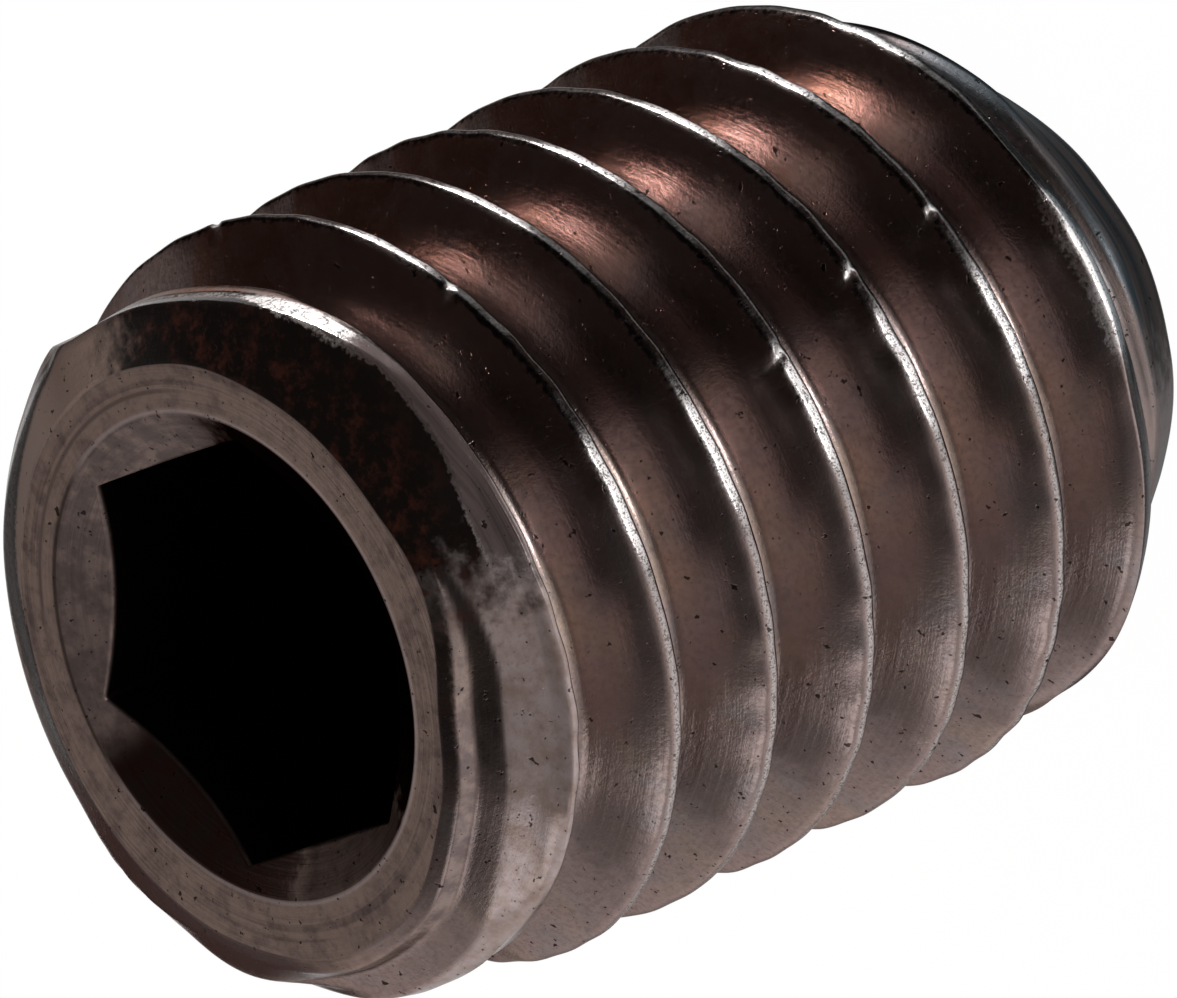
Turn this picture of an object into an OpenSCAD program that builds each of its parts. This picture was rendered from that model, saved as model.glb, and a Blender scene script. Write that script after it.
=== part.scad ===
// Socket set screw: a headless screw with a full-length right-hand thread,
// a hexagon socket in one end and a flat point on the other.
// It stands on its point. The origin is the middle of the point, +Z runs up
// the axis to the socket end, and all lengths are in millimetres.

/* [Thread] */
// Diameter over the thread crests, a little under the nominal 6
major_d = 5.93; // [5:0.01:8]
// Thread pitch
pitch = 1; // [0.7:0.05:1.25]
// Width of the flat left on a crest, as a share of the pitch
crest_share = 0.11; // [0.06:0.01:0.16]
// Radius of the rounded root, as a share of the pitch
root_share = 0.144; // [0.1:0.002:0.17]
// Angle between the two flanks
flank_angle = 60; // [50:1:70]
// Where the first crest passes the front (-Y side), below the socket face
first_crest = 0.5; // [0:0.01:1]

/* [Body] */
// Length over both ends, nominally 8
length = 7.75; // [6:0.05:16]

/* [Socket end] */
// How far the flat ring's outer edge lies inside the crests
ring_inset = 0.695; // [0.5:0.005:0.8]
// Slope of the shallow crown next to the ring, measured from the ring
crown_angle = 24.5; // [15:0.5:30]
// How far the crown's outer edge lies inside the crests
crown_inset = 0.37; // [0.3:0.005:0.45]
// Slope of the lead chamfer between crown and crests, measured from the ring
chamfer_angle = 46; // [38:1:55]

/* [Point end] */
// Diameter of the flat point
point_d = 4.14; // [3.4:0.02:4.9]
// Slope of the point's cone, measured from the screw's axis
point_angle = 34; // [28:1:45]

/* [Socket] */
// Width across the flats of the hexagon
socket_af = 3; // [2.4:0.01:3.5]
// Depth of the full hexagon below the ring
socket_depth = 3.6; // [2:0.05:4.4]
// How far the countersink's round rim lies outside the hexagon's corners
rim_over = 0.146; // [0.1:0.002:0.2]
// Included angle of the countersink
countersink_angle = 120; // [100:1:140]
// Turn of the hexagon about the axis
socket_turn = 3.8; // [0:0.1:60]
// Included angle of the cone at the bottom of the socket
drill_angle = 120; // [100:1:140]

/* [Hidden] */
// segments of a full turn of the thread groove
turn_steps = 48;
// steps across the rounded root
root_steps = 4;
// how far a cutter runs past the surface it opens
past = 0.04 * pitch;

major_r = major_d / 2;
point_r = point_d / 2;
half_flank = flank_angle / 2;

// the end profile, as radius and depth below the socket face
ring_r = major_r - ring_inset;
crown_r = major_r - crown_inset;
crown_depth = (ring_inset - crown_inset) * tan(crown_angle);
chamfer_depth = crown_depth + crown_inset * tan(chamfer_angle);
cone_h = (major_r - point_r) / tan(point_angle);

// the socket: across its corners, the countersink's rim, the drilled cone
corner_r = socket_af / 2 / cos(30);
rim_r = corner_r + rim_over;
sink_low_r = 0.9 * socket_af / 2;
drill_r = 0.97 * socket_af / 2;

// the groove: distance from the crests to the sharp corner its flanks aim at,
// then the round root that takes that corner's place
groove_half = pitch * (1 - crest_share) / 2;
sharp_depth = groove_half / tan(half_flank);
root_r = root_share * pitch;
root_centre = sharp_depth - root_r / sin(half_flank);

// the groove's section: [radius, height from the groove's middle]
mouth_half = groove_half + past * tan(half_flank);
groove_section = concat(
    [[major_r + past, -mouth_half]],
    [for (i = [0 : root_steps])
        let (a = -(90 - half_flank) + i * (180 - flank_angle) / root_steps)
        [major_r - root_centre - root_r * cos(a), root_r * sin(a)]],
    [[major_r + past, mouth_half]]);

// the groove starts a pitch under the point and ends a pitch over the face
groove_turns = ceil(length / pitch) + 2;
front = -90;
crest_height = length - first_crest;
start_height = crest_height - pitch / 2 - (groove_turns - 1) * pitch;

// A groove's cutter, wound up the axis as a right-hand helix: `section` is a
// list of [radius, height], carried up from angle `from` for `turns` turns.
module helix(section, from, turns, rise, low) {
    n = len(section);
    steps = turns * turn_steps;
    points = [for (s = [0 : steps], q = section)
        let (a = from + 360 * s / turn_steps)
        [q[0] * cos(a), q[0] * sin(a), low + q[1] + rise * s / turn_steps]];
    sides = [for (s = [0 : steps - 1], k = [0 : n - 1])
        let (a = s * n + k, b = s * n + (k + 1) % n)
        each [[a, a + n, b + n], [a, b + n, b]]];
    low_end = [for (k = [1 : n - 2]) [0, k, k + 1]];
    high_end = [for (k = [1 : n - 2]) [steps * n, steps * n + k + 1, steps * n + k]];
    polyhedron(points, concat(sides, low_end, high_end), convexity = 20);
}

// The turned blank: flat point, cone, cylinder, lead chamfer, crown, flat ring.
module blank() {
    rotate_extrude($fn = 128)
        polygon([[0, 0], [point_r, 0], [major_r, cone_h],
            [major_r, length - chamfer_depth], [crown_r, length - crown_depth],
            [ring_r, length], [0, length]]);
}

// A cone that opens upwards from radius r1, h below `top`, to r2 at `top`,
// carried a little past it so that the cut is clean.
module sink(r1, r2, angle, top) {
    slope = tan(angle / 2);
    h = (r2 - r1) / slope;
    translate([0, 0, top - h])
        cylinder(h = h + past, r1 = r1, r2 = r2 + past * slope, $fn = 96);
}

// The space that the key goes into: countersink, hexagon and drilled cone.
module socket() {
    sink(sink_low_r, rim_r, countersink_angle, length);
    rotate([0, 0, front - socket_turn])
        translate([0, 0, length - socket_depth])
            cylinder(h = socket_depth, r = corner_r, $fn = 6);
    sink(0, drill_r, drill_angle, length - socket_depth);
}

module screw() {
    color([0.33, 0.29, 0.28])
        difference() {
            blank();
            helix(groove_section, front, groove_turns, pitch, start_height);
            socket();
        }
}

screw();
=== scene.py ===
"""A socket set screw in dark steel, standing on its point in a small photo studio.

The whole screw is one closed surface of revolution whose radius varies with
depth and angle, so its thread, chamfers, socket and worn places are all
written as formulas of those two parameters.
"""

import logging
import math
from dataclasses import dataclass, field
from enum import Enum
from functools import cached_property

import bpy
import numpy as np
from mathutils import Matrix


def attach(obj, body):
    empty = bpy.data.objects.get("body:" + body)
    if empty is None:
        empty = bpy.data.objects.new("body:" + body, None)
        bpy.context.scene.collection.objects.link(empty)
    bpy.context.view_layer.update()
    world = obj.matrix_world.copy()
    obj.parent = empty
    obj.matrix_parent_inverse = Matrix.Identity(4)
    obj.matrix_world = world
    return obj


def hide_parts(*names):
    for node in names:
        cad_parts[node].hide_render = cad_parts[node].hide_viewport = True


logging.basicConfig(level=logging.INFO, format="%(message)s")
log = logging.getLogger("set_screw")

MM = 0.001
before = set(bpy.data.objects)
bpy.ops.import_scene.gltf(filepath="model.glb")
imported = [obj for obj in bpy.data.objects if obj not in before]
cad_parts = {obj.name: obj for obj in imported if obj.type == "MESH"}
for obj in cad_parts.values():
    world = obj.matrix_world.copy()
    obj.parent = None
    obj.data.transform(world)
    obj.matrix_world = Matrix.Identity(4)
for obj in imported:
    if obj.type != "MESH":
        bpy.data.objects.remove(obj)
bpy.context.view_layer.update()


class Mask(Enum):
    """Vertex attributes that tell the finish where it is on the screw."""

    AWAY = "crest_distance"
    SOCKET = "socket_inside"
    FACE = "face_and_sink"
    SINK = "countersink"
    NICK = "crest_nick"
    WALL = "runout_wall"
    FLANK = "runout_flank"
    BAND = "runout_band"


def smooth_step(x: np.ndarray, low: float, high: float) -> np.ndarray:
    """Rises from 0 at low to 1 at high along 3t^2 - 2t^3.

    Args:
        x: Values to map.
        low: Value that gives 0.
        high: Value that gives 1, which may be less than low.

    Returns:
        The mapped values, all from 0 to 1.
    """
    t = np.clip((x - low) / (high - low), 0.0, 1.0)
    return t * t * (3.0 - 2.0 * t)


def soft_min(a: np.ndarray, b: np.ndarray, ease: float) -> np.ndarray:
    """The smaller of a and b, with the corner between them rounded inwards.

    Where a and b differ by less than ease, the result is lower than either
    by (ease - |a - b|)^2 / (4 ease), which joins both with no corner.

    Args:
        a: First values.
        b: Second values.
        ease: Difference below which the corner is rounded.

    Returns:
        The rounded minimum.
    """
    near = np.maximum(ease - np.abs(a - b), 0.0)
    return np.minimum(a, b) - near * near / (4.0 * ease)


def soft_max(a: np.ndarray, b: np.ndarray, ease: float) -> np.ndarray:
    """The larger of a and b, with the corner rounded outwards (see soft_min)."""
    return -soft_min(-a, -b, ease)


def bump(angle: np.ndarray, centre: float, half_width: float) -> np.ndarray:
    """A round hill of height 1 over a stretch of the circle.

    The hill is cos^2 of the angle from its centre, scaled so that it reaches
    0 at half_width.

    Args:
        angle: Angles in degrees.
        centre: Where the hill stands, in degrees.
        half_width: How far it reaches to either side, in degrees.

    Returns:
        Heights from 0 to 1.
    """
    away = np.abs((angle - centre + 180.0) % 360.0 - 180.0)
    return np.cos(np.clip(away / half_width, 0.0, 1.0) * math.pi / 2.0) ** 2


def through(turn: np.ndarray, knots: tuple) -> np.ndarray:
    """A closed curve over the turn that eases from knot to knot.

    Between two knots it follows smooth_step, so it's level at each of them.

    Args:
        turn: Angles in degrees.
        knots: Pairs of a turn and the value there, in rising order.

    Returns:
        The values at the given turns.
    """
    at, value = np.array(knots + ((knots[0][0] + 360.0, knots[0][1]),)).T
    wrapped = (turn - at[0]) % 360.0 + at[0]
    place = np.clip(np.searchsorted(at, wrapped, side="right") - 1, 0, len(at) - 2)
    share = smooth_step((wrapped - at[place]) / (at[place + 1] - at[place]), 0.0, 1.0)
    return value[place] + (value[place + 1] - value[place]) * share


def ripple(depth: np.ndarray, turn: np.ndarray, seed: int, waves: int = 8, finest: int = 16) -> np.ndarray:
    """Smooth unevenness of the surface, mostly from -1 to 1.

    The sum of sines of (n turn + f depth + start), scaled by sqrt(2 / waves),
    where n is a whole number of waves round the axis, so that it closes.

    Args:
        depth: Depths below the socket face.
        turn: Angles round the axis, in degrees.
        seed: Picks one pattern.
        waves: How many sines are added.
        finest: The most waves round the axis.

    Returns:
        The unevenness at each place.
    """
    pick = np.random.default_rng(seed)
    around = pick.integers(1, finest + 1, waves)
    along = pick.uniform(-1.0, 1.0, waves) * around / 2.5
    start = pick.uniform(0.0, 2.0 * math.pi, waves)
    depth, turn = np.broadcast_arrays(depth, turn)
    total = np.sin(np.radians(turn)[..., None] * around + depth[..., None] * along + start).sum(-1)
    return total * math.sqrt(2.0 / waves) * 0.6


def between(x: np.ndarray, span: tuple) -> np.ndarray:
    """A mask over a span (rise, full, fall, end).

    It grows from 0 at rise to 1 at full, stays there up to fall and is 0
    again at end, along smooth_step on both sides.

    Args:
        x: Values to map.
        span: The four values, in rising order.

    Returns:
        The mask at each value, from 0 to 1.
    """
    rise, full, fall, end = span
    return smooth_step(x, rise, full) * smooth_step(x, end, fall)


@dataclass(frozen=True)
class Hill:
    """A swelling of the blank at one place.

    Its height is multiplied by a round bump over the turn and by a smooth
    step over the depth.
    """

    height: float
    turn: float
    half_width: float
    depth_from: float
    depth_full: float

    def over(self, depth: np.ndarray, turn: np.ndarray) -> np.ndarray:
        """Height of the hill at each depth and turn."""
        grown = smooth_step(depth, self.depth_from, self.depth_full)
        return self.height * bump(turn, self.turn, self.half_width) * grown


@dataclass
class RunoutForm:
    """Sizes of the run-out at the front left, in millimetres and degrees.

    From the ring outwards it has a narrow crown, a steep wall, a flank and a
    wide band that ends at the first crest. A slope is a rise in radius for
    each millimetre of depth.
    """

    crown_depth: float = 0.052
    crown_width: float = 0.11
    crown_slope: float = 2.14
    wall_slope: float = 0.4
    wall_depth: float = 0.13
    flank_slope: float = 1.732
    flank_depth: float = 0.11
    flank_more: float = 0.45
    flank_more_turn: tuple = (-38.0, -85.0)
    grow_turn: tuple = (12.0, -24.0)
    band_r: float = 2.91
    band_dip: float = 0.12
    band_dip_at: tuple = (-122.0, 66.0)
    band_past: float = 0.02
    least_band: float = 0.1
    ease: float = 0.02
    shown_turn: tuple = (-136.0, -98.0, 2.0, 16.0)
    masked_turn: tuple = (-130.0, -100.0, 4.0, 14.0)
    uncut_turn: tuple = (-150.0, -85.0)
    uncut_lean: float = 32.0
    uncut_lean_depth: tuple = (0.32, 0.18)
    uncut_start: tuple = (0.0, -0.05)


@dataclass
class ScrewForm:
    """Sizes of the screw in millimetres and degrees, as in the part's source.

    Depth runs down from the socket face. Turn is the angle round the axis
    from the front (-Y) towards +X. The ring, the crown and the point aren't
    quite round, so their radii are curves through (turn, radius) knots.
    """

    crest_r: float = 2.965
    pitch: float = 1.0
    crest_half: float = 0.055
    root_r: float = 0.144
    half_flank: float = 30.0
    first_crest: float = 0.5
    length: float = 7.75
    ring_r: tuple = (
        (-140.0, 2.33),
        (-100.0, 2.34),
        (-70.0, 2.3),
        (-46.0, 2.19),
        (-28.0, 2.17),
        (0.0, 2.34),
        (14.0, 2.28),
        (60.0, 2.27),
        (95.0, 2.24),
        (150.0, 2.25),
    )
    ring_wear: float = 0.008
    crown_r: tuple = (
        (-172.0, 2.63),
        (-145.0, 2.76),
        (-122.0, 2.73),
        (-96.0, 2.68),
        (-56.0, 2.6),
        (60.0, 2.59),
        (102.0, 2.64),
        (110.0, 2.585),
        (122.0, 2.56),
        (150.0, 2.6),
    )
    crown_depth: float = 0.148
    chamfer_angle: float = 46.0
    chamfer_hill: Hill = Hill(0.16, 45.0, 62.0, 0.1, 0.22)
    chamfer_ease: float = 0.04
    point_r: tuple = (
        (-50.0, 2.0),
        (-22.0, 2.06),
        (0.0, 2.095),
        (18.0, 2.06),
        (45.0, 2.01),
        (90.0, 2.03),
        (180.0, 2.07),
    )
    point_angle: float = 34.0
    cone_hill: Hill = Hill(0.115, -54.0, 43.0, 7.3, 6.7)
    front_cone_hill: Hill = Hill(0.06, 0.0, 24.0, 6.9, 6.6)
    cone_shelf: float = 0.125
    cone_shelf_turn: tuple = (22.0, 42.0, 80.0, 116.0)
    cone_shelf_depth: tuple = (7.65, 7.0)
    facet_fall: float = 0.1
    facet_fall_turn: tuple = (21.0, 80.0)
    facet_slope: float = 0.1
    facet_dip: float = 0.03
    facet_dip_turn: tuple = (76.0, 94.0)
    facet_end: float = 0.6
    facet_end_turn: tuple = (96.0, 141.0)
    facet_reach: float = 0.5
    flat_share: float = 1.01
    flat_fall: float = 0.09
    flat_at: tuple = (-104.0, 75.0)
    flat_start: tuple = (0.6, 0.3)
    blank_ease: float = 0.03
    socket_af: float = 3.0
    socket_depth: float = 3.6
    rim_r: float = 1.878
    sink_angle: float = 120.0
    socket_turn: float = 3.8
    drill_r: float = 1.455
    crest_ease: float = 0.09
    crest_over: float = 0.018
    crest_wear: float = 0.008
    crest_wear_reach: tuple = (0.2, 0.05)
    nicks: tuple = ((38.0, 1.0), (18.0, 5.0), (14.5, 4.0), (7.8, 3.0), (84.0, 1.0))
    nick_depth: float = 0.025
    nick_half_width: float = 1.3
    nick_lean: float = 14.0
    nick_reach: tuple = (0.12, 0.06)
    wander: float = 0.005
    start_pull: float = 0.2
    pull_turn: tuple = (-170.0, -120.0, -85.0, -15.0)
    pull_phase: tuple = (0.6, 0.1)
    runout_form: RunoutForm = field(default_factory=RunoutForm)

    def ring_edge(self, turn: np.ndarray) -> np.ndarray:
        """Outer radius of the flat ring, which the thread's start bites at the front left."""
        return through(turn, self.ring_r) + self.ring_wear * ripple(0.0, turn, 5)

    def start_shift(self, turn: np.ndarray) -> np.ndarray:
        """How far the first crest at the front left is pulled down, in turns of the thread."""
        _, _, full, rise = self.pull_turn
        return self.start_pull * smooth_step(turn, rise, full)

    def runout(self, depth: np.ndarray, turn: np.ndarray) -> np.ndarray:
        """Radius at the front, between the ring and the first crest.

        Each of the run-out's four stretches is a straight line in the plane
        of depth and radius (see RunoutForm). The wall and the flank grow
        from nothing at the front right.

        Args:
            depth: Depths below the socket face.
            turn: Angles round the axis, in degrees.

        Returns:
            Radii.
        """
        sizes = self.runout_form
        edge = self.ring_edge(turn)
        foot, top, end = self.runout_depths(turn)
        crown = edge + sizes.crown_slope * depth
        wall = edge + sizes.crown_width + sizes.wall_slope * (depth - sizes.crown_depth)
        foot_r = edge + sizes.crown_width + sizes.wall_slope * (foot - sizes.crown_depth)
        top_r = foot_r + sizes.flank_slope * (top - foot)
        end_r = sizes.band_r - sizes.band_dip * bump(turn, *sizes.band_dip_at)
        band = top_r + (end_r - top_r) * (depth - top) / np.maximum(end - top, sizes.least_band)
        inner = soft_min(crown, wall, sizes.ease)
        outer = soft_min(foot_r + sizes.flank_slope * (depth - foot), band, sizes.ease)
        return soft_max(inner, outer, sizes.ease)

    def runout_depths(self, turn: np.ndarray) -> tuple[np.ndarray, np.ndarray, np.ndarray]:
        """Depths of the run-out's flank's foot, of its top and of the band's end at each turn."""
        sizes = self.runout_form
        grown = smooth_step(turn, *sizes.grow_turn)
        foot = sizes.crown_depth + sizes.wall_depth * grown
        taller = 1.0 + sizes.flank_more * smooth_step(turn, *sizes.flank_more_turn)
        top = foot + sizes.flank_depth * grown * taller
        end = self.first_crest - turn / 360.0 - self.start_shift(turn) + sizes.band_past
        return foot, top, end

    def runout_masks(self, depth: np.ndarray, turn: np.ndarray) -> tuple[np.ndarray, np.ndarray, np.ndarray]:
        """Where the run-out's wall, its flank and its band lie, each from 0 to 1.

        Their edges are blurred over some hundredths of a millimetre of depth.

        Args:
            depth: Depths below the socket face.
            turn: Angles round the axis, in degrees.

        Returns:
            The masks of the wall, the flank and the band.
        """
        foot, top, end = self.runout_depths(turn)
        here = between(turn, self.runout_form.masked_turn)
        wall = smooth_step(depth, 0.04, 0.065) * smooth_step(depth, foot + 0.01, foot - 0.015)
        flank = smooth_step(depth, foot - 0.015, foot + 0.01) * smooth_step(depth, top + 0.02, top - 0.01)
        band = smooth_step(depth, top - 0.015, top + 0.015) * smooth_step(depth, end + 0.05, end + 0.02)
        return wall * here, flank * here, band * here

    def lead(self, depth: np.ndarray, turn: np.ndarray) -> np.ndarray:
        """Radius of the blank's socket end.

        The lesser of two lines in the plane of depth and radius: the crown
        next to the ring, up to a knee, and the lead chamfer from there on.

        Args:
            depth: Depths below the socket face.
            turn: Angles round the axis, in degrees.

        Returns:
            Radii, which go on growing past the crests.
        """
        edge = self.ring_edge(turn)
        knee = through(turn, self.crown_r)
        crown = edge + depth * (knee - edge) / self.crown_depth
        chamfer = knee + (depth - self.crown_depth) / math.tan(math.radians(self.chamfer_angle))
        chamfer = chamfer + self.chamfer_hill.over(depth, turn)
        return soft_min(crown, chamfer, self.chamfer_ease)

    def cone(self, depth: np.ndarray, turn: np.ndarray) -> np.ndarray:
        """Radius of the point's cone, which is cut unevenly.

        A straight line from the flat point upwards, with two hills and a
        shelf added to it.

        Args:
            depth: Depths below the socket face.
            turn: Angles round the axis, in degrees.

        Returns:
            Radii, which go on growing past the crests.
        """
        point = through(turn, self.point_r)
        straight = point + (self.length - depth) * math.tan(math.radians(self.point_angle))
        reach = smooth_step(depth, *self.cone_shelf_depth)
        shelf = self.cone_shelf * between(turn, self.cone_shelf_turn) * reach
        return straight + self.cone_hill.over(depth, turn) + shelf + self.front_cone_hill.over(depth, turn)

    def blank(self, depth: np.ndarray, turn: np.ndarray) -> np.ndarray:
        """Radius of the turned blank that the thread is rolled on.

        The least of the socket end, the facet that is worn on the first
        crest at the upper right, the cylinder over the crests, which is
        flattened at the left of the first crest, and the point's cone.
        Their corners are eased.

        Args:
            depth: Depths below the socket face.
            turn: Angles round the axis, in degrees.

        Returns:
            Radii.
        """
        start = self.start_distance(depth, turn)
        facet = self.crest_r * (1.0 - self.facet_fall * smooth_step(turn, *self.facet_fall_turn))
        facet = facet + self.facet_slope * start - self.facet_dip * smooth_step(turn, *self.facet_dip_turn)
        facet = facet + self.facet_end * smooth_step(turn, *self.facet_end_turn)
        facet = np.where(start < self.facet_reach, facet, self.crest_r * 1.5)
        fall = self.flat_fall * bump(turn, *self.flat_at) * smooth_step(start, *self.flat_start)
        flat = self.crest_r * (self.flat_share - fall)
        radius = soft_min(self.lead(depth, turn), facet, 0.02)
        radius = soft_min(radius, flat, self.blank_ease)
        return soft_min(radius, self.cone(depth, turn), self.blank_ease)

    def start_distance(self, depth: np.ndarray, turn: np.ndarray) -> np.ndarray:
        """Distance along the axis from the first crest, negative towards the socket face."""
        return depth - self.first_crest + self.pitch * turn / 360.0

    def crest_distance(self, depth: np.ndarray, turn: np.ndarray) -> np.ndarray:
        """Where a point lies across the thread.

        The crests lie where depth = first_crest + (k - turn / 360) pitch for
        a whole number k, which is a right-handed helix. They wander a
        little, and the first one is pulled down at the front left.

        Args:
            depth: Depths below the socket face.
            turn: Angles round the axis, in degrees.

        Returns:
            The signed distance from the nearest crest along the axis,
            positive towards the point.
        """
        phase = (depth - self.first_crest) / self.pitch + turn / 360.0
        pulled = between(turn, self.pull_turn) * smooth_step(phase, *self.pull_phase)
        phase = phase + self.start_pull * pulled + self.wander * ripple(depth, turn, 11)
        return (phase - np.round(phase)) * self.pitch

    def nick(self, depth: np.ndarray, turn: np.ndarray) -> np.ndarray:
        """Small dents struck in the crests, each 1 in its middle and about 3 degrees wide.

        Each of them has a turn and the number of its crest, and leans a
        little across the crest.

        Args:
            depth: Depths below the socket face.
            turn: Angles round the axis, in degrees.

        Returns:
            Heights from 0 to 1.
        """
        total = np.zeros(np.broadcast_shapes(np.shape(depth), np.shape(turn)))
        for where, number in self.nicks:
            off = self.start_distance(depth, turn) - number
            dent = bump(turn - self.nick_lean * off, where, self.nick_half_width)
            total = np.maximum(total, dent * smooth_step(np.abs(off), *self.nick_reach))
        return total

    def groove(self, away: np.ndarray) -> np.ndarray:
        """Depth of the thread's groove below its crests.

        Straight flanks from the crest's edge, and a round root that touches
        both flanks. The corner at the crest is eased.

        Args:
            away: Distance from the crest's middle along the axis.

        Returns:
            Depths below the crest cylinder.
        """
        flank = math.radians(self.half_flank)
        straight = (np.abs(away) - self.crest_half) / math.tan(flank)
        straight = soft_max(straight, np.zeros_like(straight), self.crest_ease)
        sharp = (self.pitch / 2.0 - self.crest_half) / math.tan(flank)
        centre = sharp - self.root_r / math.sin(flank)
        across = self.pitch / 2.0 - np.abs(away)
        root = centre + np.sqrt(np.maximum(self.root_r**2 - across**2, 0.0))
        return np.where(across < self.root_r * math.cos(flank), root, straight)

    def uncut(self, depth: np.ndarray, turn: np.ndarray) -> np.ndarray:
        """Where the groove isn't rolled in full, before the first crest at the front.

        Args:
            depth: Depths below the socket face.
            turn: Angles round the axis, in degrees.

        Returns:
            A mask from 0 to 1.
        """
        sizes = self.runout_form
        lean = sizes.uncut_lean * smooth_step(depth, *sizes.uncut_lean_depth)
        past_left = smooth_step(turn + lean, *sizes.uncut_turn)
        start = self.start_distance(depth, turn) + self.start_shift(turn)
        return past_left * smooth_step(start, *sizes.uncut_start)

    def radius(self, depth: np.ndarray, turn: np.ndarray) -> np.ndarray:
        """Radius of the finished outside: the blank with the groove cut in it.

        Before the first crest, at the front, the groove isn't rolled in
        full: the run-out shows there (see runout).

        Args:
            depth: Depths below the socket face.
            turn: Angles round the axis, in degrees.

        Returns:
            Radii.
        """
        away = self.crest_distance(depth, turn)
        blank = self.blank(depth, turn)
        near_crest = smooth_step(np.abs(away), *self.crest_wear_reach)
        worn = self.crest_wear * (ripple(depth, turn, 23, 10, 60) - 1.0) * near_crest
        crest = self.crest_r + self.crest_over + worn - self.nick_depth * self.nick(depth, turn)
        rolled = soft_min(crest - self.groove(away), blank, self.blank_ease)
        front = between(turn, self.runout_form.shown_turn)
        plain = blank + (self.runout(depth, turn) - blank) * front
        return rolled + (np.minimum(plain, self.crest_r) - rolled) * self.uncut(depth, turn)

    def hexagon(self, turn: np.ndarray) -> np.ndarray:
        """Distance from the axis to the hexagon's wall at each turn."""
        side = (turn + self.socket_turn) % 60.0 - 30.0
        return self.socket_af / 2.0 / np.cos(np.radians(side))


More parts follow.
